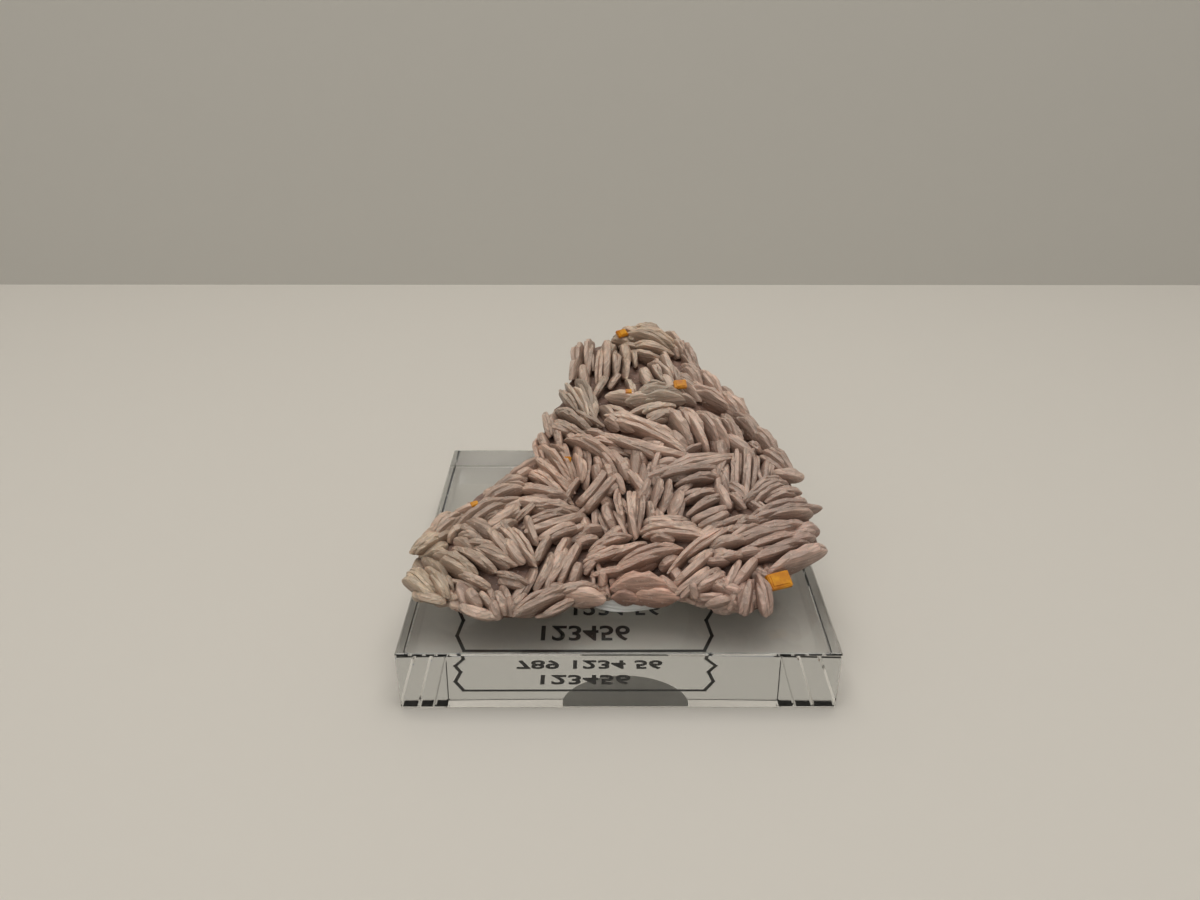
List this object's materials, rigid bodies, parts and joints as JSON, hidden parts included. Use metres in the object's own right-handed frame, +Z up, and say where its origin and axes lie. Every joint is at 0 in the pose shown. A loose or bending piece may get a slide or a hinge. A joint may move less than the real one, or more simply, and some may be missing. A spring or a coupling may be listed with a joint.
{
  "type": "barite specimen",
  "caption": "Plate of interlocking bladed barite with small orange wulfenite tablets, set with putty on a clear square display base.",
  "frame": {"origin": "centre of the base's underside", "axes": "+Z up, +X to the right seen from the front, -Y towards the front, where the cluster is lowest"},
  "size_m": [0.0531, 0.0536, 0.0297],
  "materials": {
    "clear_acrylic": "polished clear",
    "label_film": "satin",
    "putty": "soft matte",
    "barite": "satin, slightly translucent",
    "wulfenite": "glossy, translucent"
  },
  "bodies": {
    "root": {"base_slab": "clear_acrylic", "label": "label_film", "putty": "putty", "barite_cluster": "barite", "wulfenite_large": "wulfenite", "wulfenite_upper": "wulfenite", "wulfenite_small": "wulfenite", "wulfenite_left": "wulfenite", "wulfenite_middle": "wulfenite", "wulfenite_apex": "wulfenite"}
  },
  "joints": []
}
